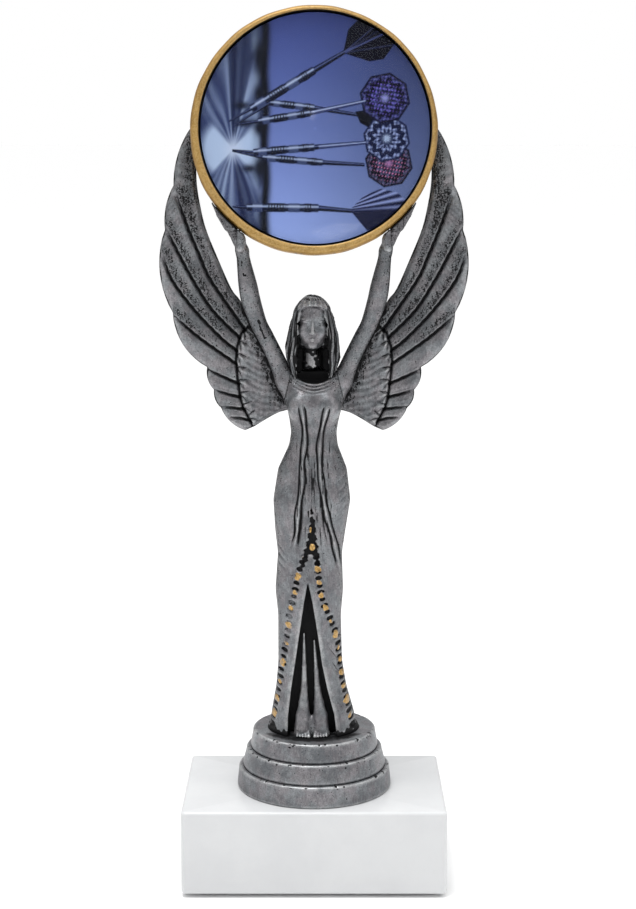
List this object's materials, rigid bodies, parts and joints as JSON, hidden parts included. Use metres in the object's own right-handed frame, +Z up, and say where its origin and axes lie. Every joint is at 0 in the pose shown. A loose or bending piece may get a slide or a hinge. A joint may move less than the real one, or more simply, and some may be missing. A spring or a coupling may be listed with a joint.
{
  "type": "figure trophy",
  "caption": "Winged robed figure on a stepped plinth, holding a round emblem holder overhead, bolted to a rectangular marble base.",
  "frame": {"origin": "centre of the footprint, on the surface that the foot pads rest on", "axes": "+X to the viewer's right, -Y towards the viewer (the emblem faces -Y), +Z up"},
  "size_m": [0.0696, 0.04, 0.1977],
  "materials": {
    "marble": "polished white marble with faint grey clouding",
    "pad": "dense black felt",
    "fastener": "zinc plated",
    "pewter": "antique pewter, black in the recesses",
    "gold": "satin antique gold paint",
    "foam": "white foam adhesive",
    "print": "printed film in blues",
    "resin": "clear domed resin"
  },
  "bodies": {
    "root": {"marble_base": "marble", "foot_pad_1": "pad", "foot_pad_2": "pad", "foot_pad_3": "pad", "foot_pad_4": "pad", "tie_rod": "fastener", "base_washer": "fastener", "lock_washer": "fastener", "base_nut": "fastener", "plinth": "pewter", "plinth_nut": "fastener", "gown_front_shell": "pewter", "gown_rear_shell": "pewter", "legs_and_feet": "pewter", "head_and_hair": "pewter", "left_arm": "pewter", "right_arm": "pewter", "left_wing": "pewter", "right_wing": "pewter", "emblem_holder": "gold", "emblem_pad": "foam", "emblem_disc": "print", "emblem_dome": "resin"}
  },
  "joints": []
}
